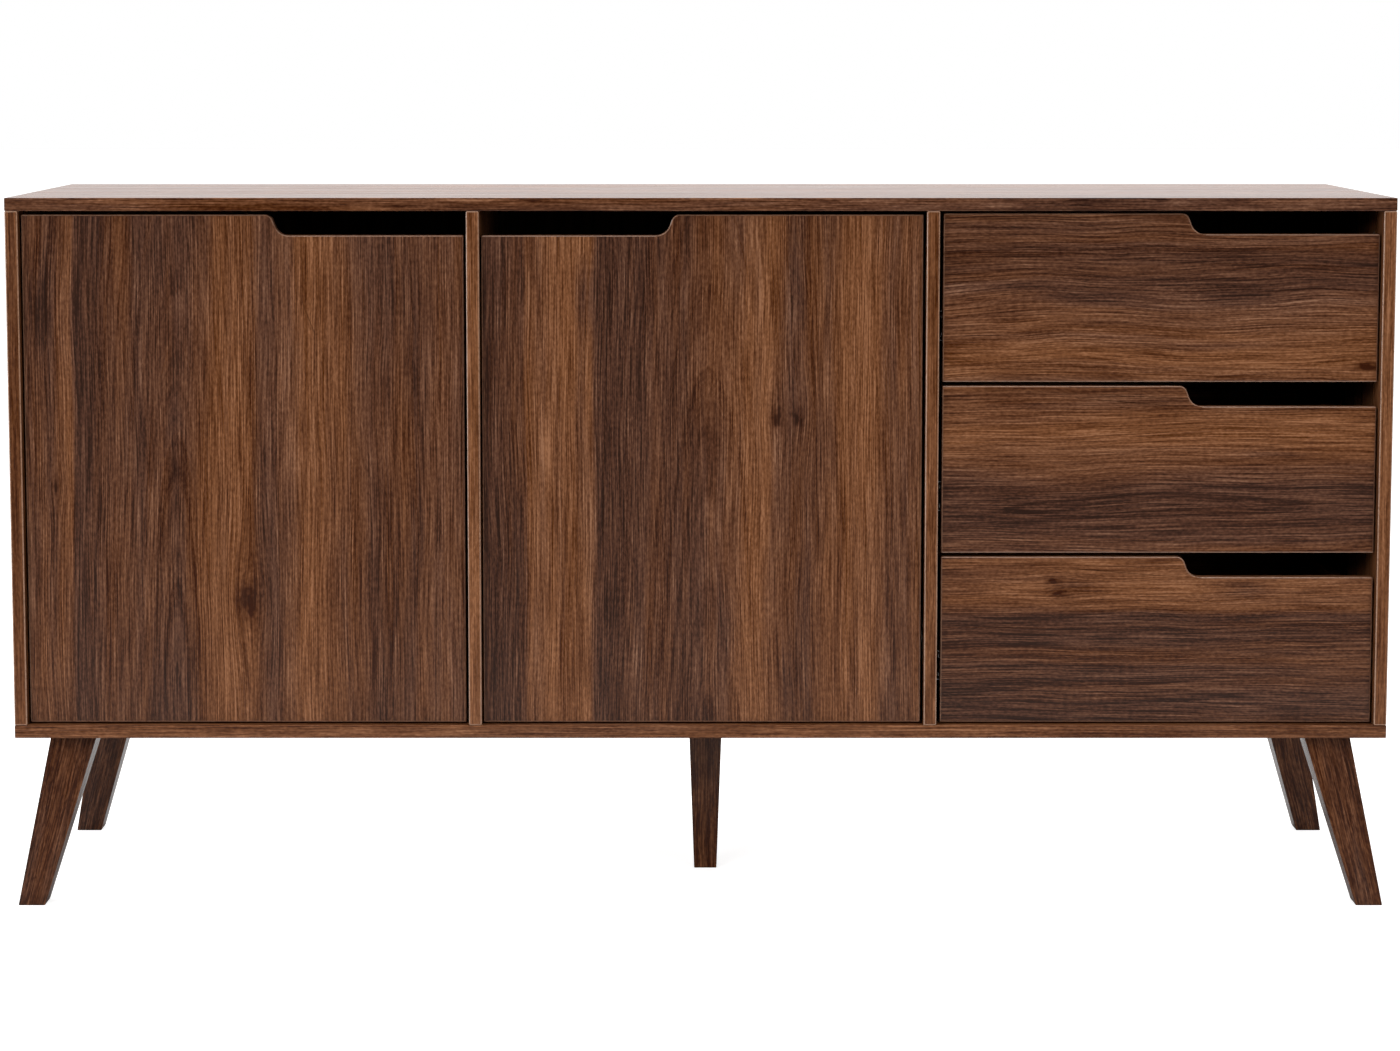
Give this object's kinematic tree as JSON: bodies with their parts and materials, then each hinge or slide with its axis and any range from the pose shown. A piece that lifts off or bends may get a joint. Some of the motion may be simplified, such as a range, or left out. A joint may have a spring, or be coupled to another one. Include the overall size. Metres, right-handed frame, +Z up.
{
  "type": "sideboard",
  "caption": "Low walnut sideboard with two inset doors, a bank of inset drawers with finger notches in their top edges, and splayed tapered legs.",
  "frame": {"origin": "on the floor, under the middle of the case", "axes": "+Z up, +X to the right of someone facing the front, +Y from the front to the back"},
  "size_m": [1.6, 0.4, 0.83],
  "materials": {
    "case_walnut": "satin lacquered walnut veneer, fine open pores",
    "front_walnut": "satin lacquered walnut veneer with streaky grain, vertical on the doors and horizontal on the drawer fronts",
    "leg_walnut": "satin lacquered solid wood in a dark walnut stain",
    "inner_walnut": "matt walnut laminate",
    "drawer_box_walnut": "matt walnut foil on board",
    "thin_board": "matt walnut-printed hardboard",
    "slide_steel": "bright zinc plated rolled steel",
    "hinge_steel": "nickel plated pressed steel"
  },
  "bodies": {
    "case": {"top_panel": "case_walnut", "bottom_panel": "case_walnut", "left_side_panel": "case_walnut", "right_side_panel": "case_walnut", "left_divider": "case_walnut", "right_divider": "case_walnut", "left_back_panel": "thin_board", "middle_back_panel": "thin_board", "right_back_panel": "thin_board", "left_shelf": "inner_walnut", "middle_shelf": "inner_walnut", "front_left_leg": "leg_walnut", "front_right_leg": "leg_walnut", "rear_left_leg": "leg_walnut", "rear_right_leg": "leg_walnut", "centre_leg": "leg_walnut", "left_door_lower_hinge_arm": "hinge_steel", "left_door_upper_hinge_arm": "hinge_steel", "middle_door_lower_hinge_arm": "hinge_steel", "middle_door_upper_hinge_arm": "hinge_steel", "bottom_drawer_left_case_rail": "slide_steel", "bottom_drawer_right_case_rail": "slide_steel", "middle_drawer_left_case_rail": "slide_steel", "middle_drawer_right_case_rail": "slide_steel", "top_drawer_left_case_rail": "slide_steel", "top_drawer_right_case_rail": "slide_steel"},
    "left_door": {"left_door_panel": "front_walnut", "left_door_lower_hinge_cup": "hinge_steel", "left_door_upper_hinge_cup": "hinge_steel"},
    "left_door_lower_hinge_link": {"left_door_lower_hinge_link": "hinge_steel"},
    "left_door_upper_hinge_link": {"left_door_upper_hinge_link": "hinge_steel"},
    "middle_door": {"middle_door_panel": "front_walnut", "middle_door_lower_hinge_cup": "hinge_steel", "middle_door_upper_hinge_cup": "hinge_steel"},
    "middle_door_lower_hinge_link": {"middle_door_lower_hinge_link": "hinge_steel"},
    "middle_door_upper_hinge_link": {"middle_door_upper_hinge_link": "hinge_steel"},
    "bottom_drawer": {"bottom_drawer_front": "front_walnut", "bottom_drawer_left_side": "drawer_box_walnut", "bottom_drawer_right_side": "drawer_box_walnut", "bottom_drawer_back": "drawer_box_walnut", "bottom_drawer_bottom": "thin_board", "bottom_drawer_left_drawer_rail": "slide_steel", "bottom_drawer_right_drawer_rail": "slide_steel"},
    "middle_drawer": {"middle_drawer_front": "front_walnut", "middle_drawer_left_side": "drawer_box_walnut", "middle_drawer_right_side": "drawer_box_walnut", "middle_drawer_back": "drawer_box_walnut", "middle_drawer_bottom": "thin_board", "middle_drawer_left_drawer_rail": "slide_steel", "middle_drawer_right_drawer_rail": "slide_steel"},
    "top_drawer": {"top_drawer_front": "front_walnut", "top_drawer_left_side": "drawer_box_walnut", "top_drawer_right_side": "drawer_box_walnut", "top_drawer_back": "drawer_box_walnut", "top_drawer_bottom": "thin_board", "top_drawer_left_drawer_rail": "slide_steel", "top_drawer_right_drawer_rail": "slide_steel"}
  },
  "joints": [
    {"name": "left_door_hinge", "type": "hinge", "parent": "case", "child": "left_door", "pos_m": [-0.779, -0.1865, 0.51375], "axis": [0, 0, -1], "range_deg": [0, 93]},
    {"name": "left_door_lower_link_pivot", "type": "hinge", "parent": "case", "child": "left_door_lower_hinge_link", "pos_m": [-0.759, -0.1809, 0.307], "axis": [0, 0, -1], "range_deg": [-48.5, 0]},
    {"name": "left_door_upper_link_pivot", "type": "hinge", "parent": "case", "child": "left_door_upper_hinge_link", "pos_m": [-0.759, -0.1809, 0.7205], "axis": [0, 0, -1], "range_deg": [-48.5, 0]},
    {"name": "middle_door_hinge", "type": "hinge", "parent": "case", "child": "middle_door", "pos_m": [0.2527, -0.1865, 0.51375], "axis": [0, 0, 1], "range_deg": [0, 93]},
    {"name": "middle_door_lower_link_pivot", "type": "hinge", "parent": "case", "child": "middle_door_lower_hinge_link", "pos_m": [0.2327, -0.1809, 0.307], "axis": [0, 0, 1], "range_deg": [-48.5, 0]},
    {"name": "middle_door_upper_link_pivot", "type": "hinge", "parent": "case", "child": "middle_door_upper_hinge_link", "pos_m": [0.2327, -0.1809, 0.7205], "axis": [0, 0, 1], "range_deg": [-48.5, 0]},
    {"name": "bottom_drawer_slide", "type": "slide", "parent": "case", "child": "bottom_drawer", "axis": [0, -1, 0], "range_m": [0, 0.26]},
    {"name": "middle_drawer_slide", "type": "slide", "parent": "case", "child": "middle_drawer", "axis": [0, -1, 0], "range_m": [0, 0.26]},
    {"name": "top_drawer_slide", "type": "slide", "parent": "case", "child": "top_drawer", "axis": [0, -1, 0], "range_m": [0, 0.26]}
  ],
  "couplings": [
    {"joint": "left_door_lower_link_pivot", "follows": "left_door_hinge", "ratio": -0.52},
    {"joint": "left_door_upper_link_pivot", "follows": "left_door_hinge", "ratio": -0.52},
    {"joint": "middle_door_lower_link_pivot", "follows": "middle_door_hinge", "ratio": -0.52},
    {"joint": "middle_door_upper_link_pivot", "follows": "middle_door_hinge", "ratio": -0.52}
  ]
}
